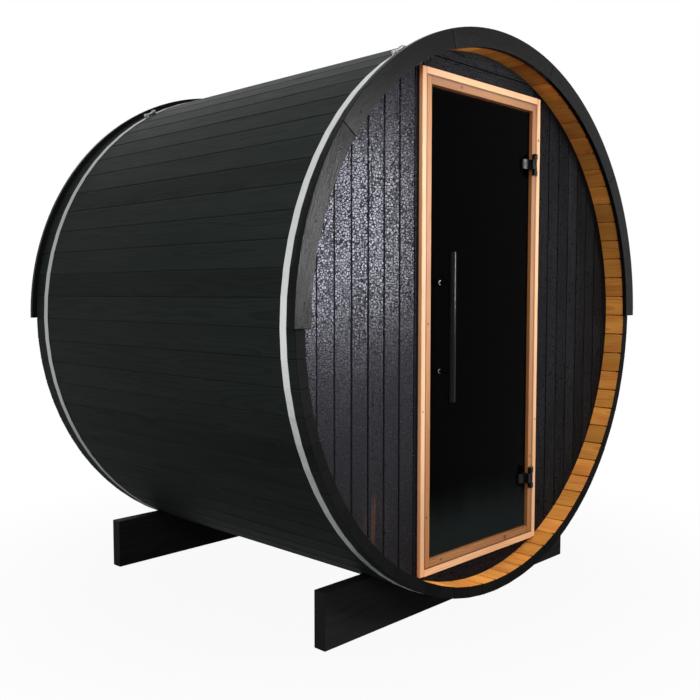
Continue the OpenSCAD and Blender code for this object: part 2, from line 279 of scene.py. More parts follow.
def charred(name, spec, rough, low, high, streaks):
    """Deep-burnt boards: glossy scales of char parted by cracks, with a patch worn to brown wood."""
    t = Surface(name, Specular_IOR_Level=spec, Specular_Tint=CHAR_SHEEN)
    grain = t.attr("grain", "Vector")
    tone = t.attr("tone", "Fac")
    stray = t.vec("SUBTRACT", t.noise(grain, CHAR_STRAYS, output="Color"), (0.5, 0.5, 0.5))
    at = t.vec("ADD", grain, t.vec("MULTIPLY", stray, (CHAR_DRIFT, CHAR_DRIFT, CHAR_DRIFT)))
    coarse = t.cells(t.scaled(at, CHAR_SCALES), "Distance", feature="DISTANCE_TO_EDGE")
    fine = t.cells(t.scaled(at, CHAR_FINE), "Distance", feature="DISTANCE_TO_EDGE")
    each = t.cells(t.scaled(at, CHAR_SCALES), "Color")
    split = t.noise(t.scaled(at, CHAR_SPLITS))
    patch = t.span(t.noise(t.scaled(grain, CHAR_PATCHES)), 0.35, 0.65)
    scale = t.math("MULTIPLY", t.span(coarse, 0.0, 0.13), t.span(split, 0.26, 0.36))
    small = t.span(fine, 0.0, 0.14)
    height = t.math("MULTIPLY_ADD", t.math("MULTIPLY", small, patch), 0.08, scale)

    raised = t.math("MULTIPLY", t.math("MULTIPLY", scale, small), patch)
    colour = t.mix(raised, t.mix(scale, CRACK_COLOUR, low), high)
    line = t.math("MULTIPLY_ADD", t.noise(t.scaled(grain, CHAR_LINES), detail=3), 2 * streaks, 1 - streaks)
    colour = t.shade(colour, t.math("MULTIPLY", line, t.math("MULTIPLY_ADD", tone, 0.5, 0.75)))
    off = t.length(t.scaled(t.vec("SUBTRACT", t.place(), WORN_AT), WORN_REACH))
    bare = t.span(t.noise(t.scaled(grain, WORN_LINES), detail=0), 0.56, 0.66)
    colour = t.mix(t.math("MULTIPLY", t.span(off, 0.5, 1.05, 0.75, 0), bare), colour, WORN_COLOUR)

    smooth = t.math("MULTIPLY", scale, t.math("MULTIPLY_ADD", patch, 0.25, 0.75))
    dull = t.math("MULTIPLY_ADD", t.math("MULTIPLY", each, patch), 0.3, t.span(smooth, 0, 1, 0.75, rough))
    return t.finish(colour, dull, t.bump(height, CHAR_DEPTH))


# Rolled steel: blotches and drawn lines in a metre, and depth of the skin
STEEL_BLOTCHES = 24
STEEL_LINES = (900, 900, 14)
STEEL_DEPTH = 0.0003


def steel(name, grey, rough):
    """Rolled strip with fine drawn lines and dull blotches."""
    t = Surface(name, Metallic=1.0)
    grain = t.attr("grain", "Vector")
    blotch = t.noise(grain, STEEL_BLOTCHES, detail=4)
    line = t.noise(t.scaled(grain, STEEL_LINES))
    dull = t.math("MULTIPLY_ADD", blotch, 0.22, t.math("MULTIPLY_ADD", line, 0.14, rough - 0.16))
    height = t.math("MULTIPLY_ADD", blotch, 2.0, line)
    return t.finish(t.mix(blotch, times(grey, 0.78), grey), dull, t.bump(height, STEEL_DEPTH))


# Powder coat: pits of the skin and worn places in a metre, and depth of the pits
COAT_PITS = 900
COAT_WEAR = 40
COAT_DEPTH = 0.00003


def coated(name, colour, rough, spec):
    """Powder-coated metal with a fine orange-peel skin."""
    t = Surface(name, Specular_IOR_Level=spec)
    peel = t.noise(t.place(), COAT_PITS)
    wear = t.noise(t.place(), COAT_WEAR, detail=4)
    tint = t.mix(t.span(wear, 0.4, 0.75), colour, times(colour, 1.9))
    return t.finish(tint, t.span(wear, 0.3, 0.7, rough - 0.06, rough + 0.08), t.bump(peel, COAT_DEPTH))


# Glass: wiping marks in a metre along x, y and z, and the tints between which they change
WIPES = (6, 1, 2)
DARK_TINT = (0.02, 0.022, 0.022)
LIGHT_TINT = (0.03, 0.033, 0.033)
# Painted light low on the glass, a lighter teal that lets less through, for the floor seen in the pane
# there: its colour, and the heights between which it thins out
PANE_FOOT_COLOUR = (0.047, 0.061, 0.061)
PANE_FOOT_LOW = 0.36
PANE_FOOT_TOP = 0.66


def smoked_glass(name):
    """Dark tinted pane with faint wiping marks, and low down a lighter teal that lets less through: painted
    light for the floor seen there.
    """
    t = Surface(name, IOR=1.05)
    place = t.place()
    wipe = t.noise(t.scaled(place, WIPES), detail=4)
    level = t.math("MULTIPLY_ADD", wipe, 0.16, t.part(place, "Z"))
    pane_foot = t.span(level, PANE_FOOT_LOW, PANE_FOOT_TOP, 1, 0)
    # Painted light: a lighter teal low on the pane
    tint = t.mix(pane_foot, t.mix(wipe, DARK_TINT, LIGHT_TINT), PANE_FOOT_COLOUR)
    t.set(t.bsdf, "Transmission Weight", t.span(pane_foot, 0, 1, 0.985, 0.8))
    return t.finish(tint, t.span(wipe, 0.4, 0.7, 0.01, 0.05))


def knots_on(y, *spots):
    """Knots on a face at y, from their x, z and radius."""
    return [((x, y, z), radius) for x, z, radius in spots]


JAMB_KNOTS = knots_on(JAMB_Y, (0.17, 0.236, 0.0125), (-0.27, 0.238, 0.007), (-0.16, 2.066, 0.0075),
                      (-0.36, 0.42, 0.006), (-0.358, 1.16, 0.0055), (0.357, 0.56, 0.0065))
TRIM_KNOTS = knots_on(TRIM_Y, (0.386, 1.93, 0.007), (-0.388, 0.83, 0.004), (0.387, 0.72, 0.005))
MATERIALS = {
    "stave_out": stained("stave_stain", (0.0205, 0.0258, 0.0239), (0.0105, 0.014, 0.0129),
                         rough=(0.42, 0.6), spec=0.02),
    "stave_in": wood("stave_honey", (0.82, 0.36, 0.08), (0.5, 0.17, 0.022), year=0.55, spec=0.04, vary=0.5,
                     blush=(0.68, 0.23, 0.055)),
    "stave_end": stained("stave_end_stain", (0.0075, 0.0079, 0.0075), (0.004, 0.0044, 0.0041),
                         rough=(0.5, 0.7), spec=0.015),
    "arch": stained("arch_stain", (0.0085, 0.0088, 0.0092), (0.0045, 0.0047, 0.005),
                    rough=(0.22, 0.32), spec=0.036, vary=0.25),
    # Lit and shaded copies of one char, set to the light on each wall: the left and rear walls glossy to
    # take the lamps' sheen, the right wall and sill duller and lighter, out of it, and the header lighter
    # again, painted light lifting the shade under the arch
    "char": charred("char", 0.18, 0.2, (0.0036, 0.0036, 0.0044), (0.009, 0.009, 0.0116), 0.2),
    "shaded_copy_char": charred("shaded_copy_char", 0.03, 0.4, (0.0095, 0.0095, 0.0104), (0.0185, 0.0185, 0.0202), 0.75),
    "lit_header_char": charred("lit_header_char", 0.03, 0.4, (0.024, 0.024, 0.027), (0.038, 0.038, 0.0425), 0.3),
    "lining": wood("lining_wood", (0.62, 0.36, 0.15), (0.42, 0.2, 0.07)),
    "cradle": stained("cradle_stain", (0.0165, 0.0165, 0.0165), (0.0085, 0.0085, 0.0085),
                      rough=(0.5, 0.7), spec=0.06),
    "deck": wood("deck_wood", (0.5, 0.3, 0.14), (0.3, 0.15, 0.06), rough=(0.55, 0.75)),
    # The jamb wood carries painted shade beside the trim, where the trim's shadow falls
    "jamb": wood("jamb_wood", (0.455, 0.2, 0.064), (0.225, 0.078, 0.021), year=0.85, spacing=0.0045,
                 knots=JAMB_KNOTS, blush=(0.42, 0.148, 0.049), trim_shade=(CUT_HALF, CUT_LOW, CUT_TOP)),
    "trim": wood("trim_wood", (0.87, 0.505, 0.282), (0.61, 0.305, 0.15), year=0.6, spacing=0.004, vary=0.2,
                 knots=TRIM_KNOTS, knot_colour=(0.26, 0.1, 0.04), blush=(0.84, 0.41, 0.185)),
    "band": steel("band_steel", (0.6, 0.612, 0.608), 0.5),
    # The rear band is a darker grey than the front one
    "darker_band": steel("darker_band_steel", (0.4, 0.409, 0.405), 0.52),
    "bolt": steel("bolt_steel", (0.5, 0.5, 0.49), 0.45),
    "metal": coated("black_coat", (0.005, 0.005, 0.0054), 0.28, 0.11),
    "bar": coated("bar_coat", (0.003, 0.003, 0.0033), 0.11, 0.1),
    "screw": coated("screw_coat", (0.004, 0.004, 0.0042), 0.5, 0.06),
    "cap": steel("cap_steel", (0.4, 0.41, 0.41), 0.3),
    "glass": smoked_glass("smoked_glass"),
}

# Board in its log: distance off the pith sideways and outwards, and the length its place is drawn from
PITH_ASIDE = 0.05
PITH_NEAR = 0.03
PITH_FAR = 0.09
LOG_LENGTH = 40
# Shortest edge kept in a clipped outline, a distance past every part, and the corners of a full round edge
SHORTEST = 0.0015
FAR = 9
ROUND_CORNERS = 240
# Least divisor of a mitre, which keeps sharp corners from shooting out
MITRE_LEAST = 0.3


def inset(outline, by):
    """The outline of a polygon given anticlockwise, moved inwards."""
    moved = []
    for k, (u, v) in enumerate(outline):
        (pu, pv), (nu, nv) = outline[k - 1], outline[(k + 1) % len(outline)]
        before = Vector((pv - v, u - pu)).normalized()
        after = Vector((v - nv, nu - u)).normalized()
        mitre = (before + after) / max(1 + before.dot(after), MITRE_LEAST)
        moved.append((u + mitre.x * by, v + mitre.y * by))
    return moved


def clip(outline, nu, nv, d):
    """The part of a convex polygon where nu * u + nv * v is at most d."""
    kept = []
    for k, (u, v) in enumerate(outline):
        pu, pv = outline[k - 1]
        here = nu * u + nv * v - d
        before = nu * pu + nv * pv - d
        if here * before < 0:
            share = before / (before - here)
            kept.append((pu + (u - pu) * share, pv + (v - pv) * share))
        if here <= 0:
            kept.append((u, v))
    return [p for k, p in enumerate(kept) if math.dist(p, kept[k - 1]) > SHORTEST]


def board_outline(u0, u1, v0=-FAR, v1=FAR):
    """A board in an end wall: a rectangle clipped by the round edge, about the barrel axis."""
    turns = [2 * math.pi * k / ROUND_CORNERS for k in range(ROUND_CORNERS)]
    outline = [(WALL_R * math.cos(a), WALL_R * math.sin(a)) for a in turns]
    for nu, nv, d in ((-1, 0, -u0), (1, 0, u1), (0, -1, -v0), (0, 1, v1)):
        outline = clip(outline, nu, nv, d)
    return outline


def billet(order):
    """Wood coordinates of one board, from a random place in a log.

    The order says which of u, v, w or x, y, z runs across, through and along the board.
    """
    across = rng.uniform(-PITH_ASIDE, PITH_ASIDE)
    through = rng.choice((-1, 1)) * rng.uniform(PITH_NEAR, PITH_FAR)
    along = rng.uniform(0, LOG_LENGTH)
    pick = ["uvwxyz".index(letter) % 3 for letter in order]
    return lambda *p: tuple(p[k] + shift for k, shift in zip(pick, (across, through, along)))


def tube(rings, sides):
    """Faces of a solid made of rings of points: both caps, then the walls from ring to ring."""
    last = (rings - 1) * sides
    faces = [list(range(sides)), list(range(last, last + sides))]
    for k in range(0, last, sides):
        for i in range(sides):
            j = (i + 1) % sides
            faces.append([k + i, k + j, k + sides + j, k + sides + i])
    return faces


# Points of a CAD mesh closer than this become one, and so do faces that meet at less than this
WELD = 3e-6
FLAT_ANGLE = math.radians(0.5)
# Edges sharper than this are rounded, and slivers shorter than this are taken out
ARRIS_ANGLE = math.radians(28)
SLIVER = 5e-6
# Edges sharper than this stay sharp in the shading
SHADE_ANGLE = math.radians(32)
# Cuts across a crowned face, and the share of its thickness lost at the thin end
CROWN_CUTS = 12
CROWN_LOSS = 0.45


def thin_out(bm, x, reach, y):
    """Thins what lies in front of y, in a curve from nothing at x + reach to the full loss at x."""
    for k in range(1, CROWN_CUTS + 1):
        every = bm.verts[:] + bm.edges[:] + bm.faces[:]
        cut = (x + reach * k / CROWN_CUTS, 0, 0)
        bmesh.ops.bisect_plane(bm, geom=every, plane_co=cut, plane_no=(1, 0, 0))
    for v in bm.verts:
        share = min(max((x + reach - v.co.x) / reach, 0.0), 1.0)
        if v.co.y < y:
            v.co.y = y + (v.co.y - y) * (1 - CROWN_LOSS * share * share)
    bmesh.ops.dissolve_degenerate(bm, dist=SLIVER, edges=bm.edges)


class Build:
    """Solids that become one piece. Each has a tone and wood coordinates of its own."""

    def __init__(self):
        self.verts = []
        self.faces = []
        self.mats = []
        self.tones = []
        self.grain = []

    def add(self, verts, faces, mats, grain, tone=None):
        """Takes in a solid. Its tone is a function of a point, or else is drawn at random."""
        first = len(self.verts)
        shade = tone or (lambda v, drawn=rng.random(): drawn)
        self.verts += [tuple(v) for v in verts]
        self.faces += [[first + k for k in face] for face in faces]
        self.mats += mats
        self.grain += grain
        self.tones += [shade(v) for v in verts]

    def prism(self, outline, place, profile, wood_at, caps=(0, 0), side=lambda ring, edge: 0):
        """A solid along w: profile is (inset, w) from cap to cap, and place turns (u, v, w) to a point."""
        points = [(u, v, w) for by, w in profile for u, v in (inset(outline, by) if by else outline)]
        edges = range(len(outline))
        mats = [*caps, *(side(ring, edge) for ring in range(len(profile) - 1) for edge in edges)]
        faces = tube(len(profile), len(outline))
        self.add([place(*p) for p in points], faces, mats, [wood_at(*p) for p in points])

    def lathe(self, profile, origin, axis, sides=20, mat=0):
        """A turned solid: the profile gives (radius, height) along the axis."""
        z = Vector(axis).normalized()
        x = z.orthogonal().normalized()
        y = z.cross(x)
        turns = [2 * math.pi * k / sides for k in range(sides)]
        spokes = [x * math.cos(a) + y * math.sin(a) for a in turns]
        base = Vector(origin)
        verts = [base + z * height + spoke * radius for radius, height in profile for spoke in spokes]
        faces = tube(len(profile), sides)
        self.add(verts, faces, [mat] * len(faces), [tuple(v) for v in verts])

    def cad(self, node, width, order, tone=None, segments=2, crown=None):
        """A CAD solid with its arrises rounded, and thinned out where a crown is given."""
        bm = bmesh.new()
        bm.from_mesh(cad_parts[node].data)
        bmesh.ops.remove_doubles(bm, verts=bm.verts, dist=WELD)
        bmesh.ops.dissolve_limit(bm, angle_limit=FLAT_ANGLE, verts=bm.verts, edges=bm.edges)
        sharp = [e for e in bm.edges if len(e.link_faces) == 2 and e.calc_face_angle(0) > ARRIS_ANGLE]
        bmesh.ops.bevel(bm, geom=sharp, offset=width, segments=segments, profile=0.5, affect="EDGES",
                        clamp_overlap=True)
        if crown:
            thin_out(bm, *crown)
        bm.verts.index_update()
        verts = [v.co.copy() for v in bm.verts]
        faces = [[v.index for v in face.verts] for face in bm.faces]
        bm.free()
        wood_at = billet(order)
        self.add(verts, faces, [0] * len(faces), [wood_at(*v) for v in verts], tone)

    def piece(self, name, body, materials, nodes=(), slot=None):
        """Makes the piece, puts it on its body and hides the CAD nodes it stands for."""
        mesh = bpy.data.meshes.new(name)
        mesh.from_pydata(self.verts, [], self.faces)
        for key in materials:
            mesh.materials.append(MATERIALS[key])
        mesh.polygons.foreach_set("material_index", self.mats)
        mesh.attributes.new("tone", "FLOAT", "POINT").data.foreach_set("value", self.tones)
        grain = [c for point in self.grain for c in point]
        mesh.attributes.new("grain", "FLOAT_VECTOR", "POINT").data.foreach_set("vector", grain)
        bm = bmesh.new()
        bm.from_mesh(mesh)
        bmesh.ops.recalc_face_normals(bm, faces=bm.faces)
        bm.to_mesh(mesh)
        bm.free()
        mesh.shade_smooth()
        mesh.set_sharp_from_angle(angle=SHADE_ANGLE)
        obj = bpy.data.objects.new(name, mesh)
        bpy.context.scene.collection.objects.link(obj)
        level = obj.modifiers.new("level_normals", "WEIGHTED_NORMAL")
        level.keep_sharp = True
        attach(obj, body)
        if nodes:
            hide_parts(*nodes)


def upright(u, v, w):
    """u across, v up from the barrel axis, w from front to back."""
    return (u, w, AXIS_Z + v)


def eased(profile, start, way):
    """A profile of (inset, depth) as (inset, place), from a start in the way of the depth."""
    return [(by, start + way * depth) for by, depth in profile]


# Stave section: V seam outside and the part of its slope that is straight
SEAM = 0.003
SEAM_STRAIGHT = 0.6
# V seam inside with its open joint, and the round of the outer arris
INNER_SEAM = 0.0032
INNER_SEAM_DEPTH = 0.0035
JOINT = 0.0007
ARRIS_ALONG = 0.0008
ARRIS_DOWN = 0.0002
ARRIS_END = 0.003
# Eased stave ends, and the length over which the stain reaches into the inner seams
STAVE_END_EASE = ((0.001, 0), (0, 0.0012), (0, 0.014))
# How far staves are twisted in degrees, sunk and cut short by chance
STAVE_TWIST = 0.14
STAVE_SINK = 0.0004
STAVE_SHORT = 0.001
# Places of a stave's materials
OUTSIDE, HONEY, END = range(3)


def stave_section():
    """Outline of a stave as (across, radial) with eased V edges, and what gives the material of a face."""
    across = math.sin(STEP / 2)
    radial = math.cos(STEP / 2)
    flat_low = (INNER_R * across - INNER_SEAM, INNER_R * radial)
    low = (INNER_R * across - JOINT, (INNER_R + INNER_SEAM_DEPTH) * radial)
    top = ((OUTER_R - SEAM) * across, (OUTER_R - SEAM) * radial)
    flat_top = (OUTER_R * across - SEAM, OUTER_R * radial)
    mid = tuple(a + (b - a) * SEAM_STRAIGHT for a, b in zip(top, flat_top))
    arris = (flat_top[0] - ARRIS_ALONG, flat_top[1] - ARRIS_DOWN)
    half = [flat_low, low, top, mid, arris, (flat_top[0] - ARRIS_END, flat_top[1])]
    outline = half + [(-u, v) for u, v in reversed(half)]
    flank = [HONEY, END, OUTSIDE, OUTSIDE, OUTSIDE]
    sides = [*flank, OUTSIDE, *reversed(flank), HONEY]

    inner_seams = (0, len(sides) - 2)
    last_ring = 2 * len(STAVE_END_EASE) - 2

    def side(ring, edge):
        from_end = min(ring, last_ring - ring)
        stained_end = from_end == 0 or from_end == 1 and edge in inner_seams
        return END if stained_end else sides[edge]
    return outline, side


def stave_place(angle, twist, sink):
    """Puts a stave at an angle about the barrel axis."""
    def place(u, v, w):
        r = v - sink + u * twist
        x = r * math.cos(angle) - u * math.sin(angle)
        up = r * math.sin(angle) + u * math.cos(angle)
        return (x, w, AXIS_Z + up)
    return place


def staves():
    outline, side = stave_section()
    per_group = STAVES // GROUPS
    for group in range(GROUPS):
        build = Build()
        for k in range(group * per_group, (group + 1) * per_group):
            twist = math.radians(rng.gauss(0, STAVE_TWIST))
            place = stave_place((k + 0.5) * STEP, twist, rng.uniform(0, STAVE_SINK))
            front = FRONT_END + rng.uniform(0, STAVE_SHORT)
            rear = REAR_END - rng.uniform(0, STAVE_SHORT)
            profile = eased(STAVE_END_EASE, front, 1) + eased(STAVE_END_EASE, rear, -1)[::-1]
            wood_at = billet("uvw")
            build.prism(outline, place, profile, lambda u, v, w: wood_at(u, v - MIDDLE_R, w),
                        (END, END), side)
        node = "staves_%02d" % (group + 1)
        build.piece(node + "_boards", "sauna", ["stave_out", "stave_in", "stave_end"], [node], "dark_stave")


# Arches: boards in each, reach past the staves, width, and thickness less the screw heads
ARCH_BOARDS = 5
ARCH_PROUD = 0.02
ARCH_W = 0.072
ARCH_T = 0.0193
ARCH_R = OUTER_R + ARCH_PROUD
ARCH_INNER_R = ARCH_R - ARCH_W
# Half a joint in radians, corners along a board, front edge as (inset, depth), and set-back by chance
ARCH_JOINT = 0.0005
ARCH_CORNERS = 18
ARCH_EASE = ((0.0024, 0), (0.0008, 0.0007), (0, 0.0022))
ARCH_BACK = 0.0006
# Screws in the arches: the angle from a board's end to its end screws, and the head as (radius, height)
SCREW_IN = 0.075
ARCH_SCREW = ((0.0012, 0.0), (0.0016, 0.0002), (0.0019, 0.0006), (0.0034, 0.0005), (0.004, 0.0001),
              (0.0042, -0.003))


def arches():
    screws = Build()
    turn = math.pi / ARCH_BOARDS
    for name, back, way in (("front_arch", FRONT_END, 1), ("rear_arch", REAR_END, -1)):
        build = Build()
        face = back - way * ARCH_T
        for k in range(ARCH_BOARDS):
            start = turn * k + (ARCH_JOINT if k else 0)
            stop = turn * (k + 1) - (ARCH_JOINT if k < ARCH_BOARDS - 1 else 0)
            mid = (start + stop) / 2
            steps = [start + (stop - start) * s / ARCH_CORNERS for s in range(ARCH_CORNERS + 1)]
            outline = [(ARCH_R * math.cos(a), ARCH_R * math.sin(a)) for a in steps]
            outline += [(ARCH_INNER_R * math.cos(a), ARCH_INNER_R * math.sin(a)) for a in reversed(steps)]
            front = face + way * rng.uniform(0, ARCH_BACK)
            wood_at = billet("uvw")

            def board_wood(u, v, w, c=math.cos(mid), s=math.sin(mid)):
                return wood_at(u * c + v * s - MIDDLE_R, w - face, v * c - u * s)
            build.prism(outline, upright, eased(ARCH_EASE, front, way) + [(0, back)], board_wood)
            for a in (start + SCREW_IN, mid, stop - SCREW_IN):
                spot = (MIDDLE_R * math.cos(a), front, AXIS_Z + MIDDLE_R * math.sin(a))
                screws.lathe(ARCH_SCREW, spot, (0, -way, 0))
        build.piece(name + "_boards", "sauna", ["arch"], [name], "dark_board")
    screws.piece("arch_screws", "sauna", ["screw"])


# Wall boards: section from the charred face to the lining as (inset, depth), with a slot to the next board
LINING_EASE = 0.0018
BOARD_EASE = ((0.005, 0), (0.0022, 0.0026), (0.0017, 0.012), (0, 0.0121),
              (0, WALL_T - LINING_EASE), (LINING_EASE, WALL_T))
# Places of their materials, the material of each ring, and the narrowest strip that is a board of its own
CHAR, LINING = range(2)
BOARD_RINGS = (CHAR, CHAR, CHAR, LINING, LINING)
NARROWEST = 0.01


def wall_board(build, outline, face, way, order):
    """One board of an end wall: charred outside with eased edges and a narrow slot to its neighbour."""
    build.prism(outline, upright, eased(BOARD_EASE, face, way), billet(order), (CHAR, LINING),
                lambda ring, edge: BOARD_RINGS[ring])


def uprights(build, u0, u1, face, way):
    """Upright boards from u0 to u1, with their joints counted from the middle of the wall."""
    last = math.ceil(WALL_R / BOARD_W)
    joints = [k * BOARD_W for k in range(-last, last + 1)]
    marks = [u0] + [u for u in joints if u0 + NARROWEST < u < u1 - NARROWEST] + [u1]
    for left, right in zip(marks, marks[1:]):
        wall_board(build, board_outline(left, right), face, way, "uwv")


def level_boards(build, *levels):
    """Level boards over the width of the doorway, between heights above the barrel axis."""
    for low, top in zip(levels, levels[1:]):
        wall_board(build, board_outline(-CUT_HALF, CUT_HALF, low, top), FRONT_FACE, 1, "vwu")


def wall_piece(build, node, char):
    build.piece(node + "_boards", "sauna", [char, "lining"], [node], "charred_wood")


def walls():
    left = Build()
    uprights(left, -WALL_R, -CUT_HALF, FRONT_FACE, 1)
    wall_piece(left, "front_wall_left", "char")

    # The right wall takes the shaded copy of the char, duller and out of the lamps' sheen
    right = Build()
    uprights(right, CUT_HALF, WALL_R, FRONT_FACE, 1)
    wall_piece(right, "front_wall_right", "shaded_copy_char")

    # The header takes a lighter copy of the char, painted light lifting the shade under the arch
    header = Build()
    header_low = CUT_TOP - AXIS_Z
    level_boards(header, header_low, (header_low + INNER_R + TRIM_W) / 2, FAR)
    wall_piece(header, "front_wall_header", "lit_header_char")

    sill = Build()
    level_boards(sill, -FAR, CUT_LOW - AXIS_Z)
    wall_piece(sill, "front_wall_sill", "shaded_copy_char")

    rear = Build()
    uprights(rear, -WALL_R, WALL_R, REAR_FACE, -1)
    wall_piece(rear, "rear_wall", "char")


# Bands: thickness, gap to the stave corners, bent length beside a corner, and depth in the figure
BAND_T = 0.0015
BAND_GAP = 0.0002
BAND_BEND = 0.004
BAND_GRAIN = 0.002
BAND_R = OUTER_R + BAND_GAP
# Upturned ends of a band: distance from the middle, height, bend as (out, up), and turn to the left
TAB_X = 0.0213
TAB_H = 0.016
TAB_BEND = ((0, 0.004), (-0.0005, 0.0018), (-0.0018, 0.0005), (-0.004, -0.0001))
TAB_TURN = math.radians(30)
# Lugs on these ends: outline, inner and outer face, and easing
LUG_OUTLINE = ((-0.0135, -0.009), (0.0135, -0.009), (0.0135, 0.004), (0.01, 0.0078), (-0.01, 0.0078),
               (-0.0135, 0.004))
LUG_IN = 0.0216
LUG_OUT = 0.025
LUG_EASE = 0.0008
# Bolt through the lugs: height, half its length, core radius, and depth and half pitch of its thread
BOLT_H = 0.01
BOLT_HALF = 0.034
BOLT_R = 0.0034
THREAD_DEPTH = 0.0006
THREAD_RISE = 0.0007
# Washers, which sag a little, and nuts as (radius, height)
WASHER_R = 0.0088
WASHER_T = 0.0014
WASHER_DROP = 0.0003
NUT = ((0.0066, 0), (0.0075, 0.0006), (0.0075, 0.0054), (0.0066, 0.0061), (0.0042, 0.0061))
# Places of a band's materials
STRIP, BOLT = range(2)


def band_path():
    """Line of a band's inner face in x and z, from one upturned end round the staves to the other."""
    half = STEP / 2
    foot = AXIS_Z + BAND_R - TAB_X * math.tan(half)
    tab = [(-TAB_X, AXIS_Z + OUTER_R + TAB_H)] + [(-TAB_X + out, foot + up) for out, up in TAB_BEND]
    path = list(tab)
    top_corner = STAVES // 4
    for k in range(top_corner + 1, top_corner + STAVES):
        x = BAND_R * math.cos(k * STEP)
        z = AXIS_Z + BAND_R * math.sin(k * STEP)
        for way in (-1, 1):
            slope = k * STEP + way * half
            path.append((x - way * BAND_BEND * math.sin(slope), z + way * BAND_BEND * math.cos(slope)))
    return path + [(-x, z) for x, z in reversed(tab)]


def strip(build, path, y0, y1):
    """A flat strip along a path, between two places along the barrel."""
    verts = []
    grain = []
    run = 0.0
    for k, (x, z) in enumerate(path):
        before = path[max(k - 1, 0)]
        after = path[min(k + 1, len(path) - 1)]
        out = Vector((after[1] - before[1], before[0] - after[0])).normalized() * BAND_T
        run += math.dist(before, (x, z))
        for y, share in ((y0, 1), (y1, 1), (y1, 0), (y0, 0)):
            verts.append((x + out.x * share, y, z + out.y * share))
            grain.append((y, BAND_GRAIN * share, run))
    faces = tube(len(path), 4)
    build.add(verts, faces, [STRIP] * len(faces), grain)


def tightener(build, y):
    """Two lugs on the ends of a band, and the bolt that pulls them together."""
    z = AXIS_Z + OUTER_R + BOLT_H
    for way in (-1, 1):
        profile = [(LUG_EASE, way * LUG_IN), (0, way * (LUG_IN + LUG_EASE)),
                   (0, way * (LUG_OUT - LUG_EASE)), (LUG_EASE, way * LUG_OUT)]
        build.prism(LUG_OUTLINE, lambda u, v, w: (w, y + u, z + v), profile, lambda u, v, w: (u, w, v))
    turns = range(int(2 * BOLT_HALF / THREAD_RISE) + 1)
    thread = [(BOLT_R + THREAD_DEPTH * (k % 2), THREAD_RISE * k - BOLT_HALF) for k in turns]
    build.lathe(thread, (0, y, z), (1, 0, 0), sides=16, mat=BOLT)
    seat = LUG_OUT + WASHER_T
    for way in (-1, 1):
        washer = [(WASHER_R, LUG_OUT), (WASHER_R, seat)]
        nut = [(radius, seat + height) for radius, height in NUT]
        build.lathe(washer, (0, y, z - WASHER_DROP), (way, 0, 0), sides=24, mat=BOLT)
        build.lathe(nut, (0, y, z), (way, 0, 0), sides=6, mat=BOLT)


def turned(x, y, z):
    """A point turned about the barrel axis, from the top to where the tightener sits."""
    c = math.cos(TAB_TURN)
    s = math.sin(TAB_TURN)
    up = z - AXIS_Z
    return (x * c - up * s, y, AXIS_Z + x * s + up * c)


def bands():
    for name, material in (("front_band", "band"), ("rear_band", "darker_band")):
        low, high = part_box(name)
        build = Build()
        strip(build, band_path(), low.y, high.y)
        tightener(build, (low.y + high.y) / 2)
        build.verts = [turned(*point) for point in build.verts]
        build.piece(name + "_strap", "sauna", [material, "bolt"], [name], "band_steel")


def single(node, material, width, order, slot, body="sauna", tone=None, segments=2, crown=None):
    """A piece that is one CAD solid with rounded arrises."""
    build = Build()
    build.cad(node, width, order, tone, segments, crown)
    build.piece(node + "_shaped", body, [material], [node], slot)


# Widths of the rounded arrises of frame, trim and fittings
JAMB_ROUND = 0.0012
SILL_ROUND = 0.0025
SIDE_TRIM_ROUND = 0.004
LEVEL_TRIM_ROUND = 0.0014
HINGE_ROUND = 0.0007
CLAMP_ROUND = 0.0016
GLASS_ROUND = 0.0008
BAR_ROUND = 0.0018
# Length over which a clamp's face is crowned
CLAMP_CROWN = 0.034
# Hinge screws: thickness of the plate, places in from its ends and edge, and head as (radius, height)
HINGE_PLATE_T = 0.005
HINGE_SCREW_Z = 0.009
HINGE_SCREW_X = (0.006, 0.016)
HINGE_SCREW = ((0.001, 0.0001), (0.0014, 0.0006), (0.003, 0.0005), (0.0034, 0.0001), (0.0035, -0.001))
# Collars round the handle's standoffs: distance between the two, and section as (radius, height)
STANDOFF_PITCH = 0.34
COLLAR = ((0.0071, 0.0), (0.0084, 0.0), (0.0084, 0.0009), (0.0078, 0.0016), (0.0071, 0.0016))


def door_frame():
    for side in ("left", "right"):
        single("jamb_" + side, "jamb", JAMB_ROUND, "xyz", "jamb_wood")
        single("trim_" + side, "trim", SIDE_TRIM_ROUND, "xyz", "trim_wood", segments=4)
    for part, width in (("head", JAMB_ROUND), ("sill", SILL_ROUND)):
        single("frame_" + part, "jamb", width, "zyx", "jamb_wood")
        single("trim_" + part, "trim", LEVEL_TRIM_ROUND, "zyx", "trim_wood")


def hinges():
    screws = Build()
    for level in ("upper", "lower"):
        plate = level + "_hinge_plate"
        clamp = level + "_glass_clamp"
        crown = (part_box(clamp)[0].x, CLAMP_CROWN, GLASS_Y)
        single(plate, "metal", HINGE_ROUND, "xyz", "black_metal")
        single(clamp, "metal", CLAMP_ROUND, "xyz", "black_metal", "door", segments=3, crown=crown)
        low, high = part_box(plate)
        for z in (low.z + HINGE_SCREW_Z, high.z - HINGE_SCREW_Z):
            for away in HINGE_SCREW_X:
                spot = (high.x - away, JAMB_Y - HINGE_PLATE_T, z)
                screws.lathe(HINGE_SCREW, spot, (0, -1, 0), sides=16)
    screws.piece("hinge_screws", "sauna", ["screw"])


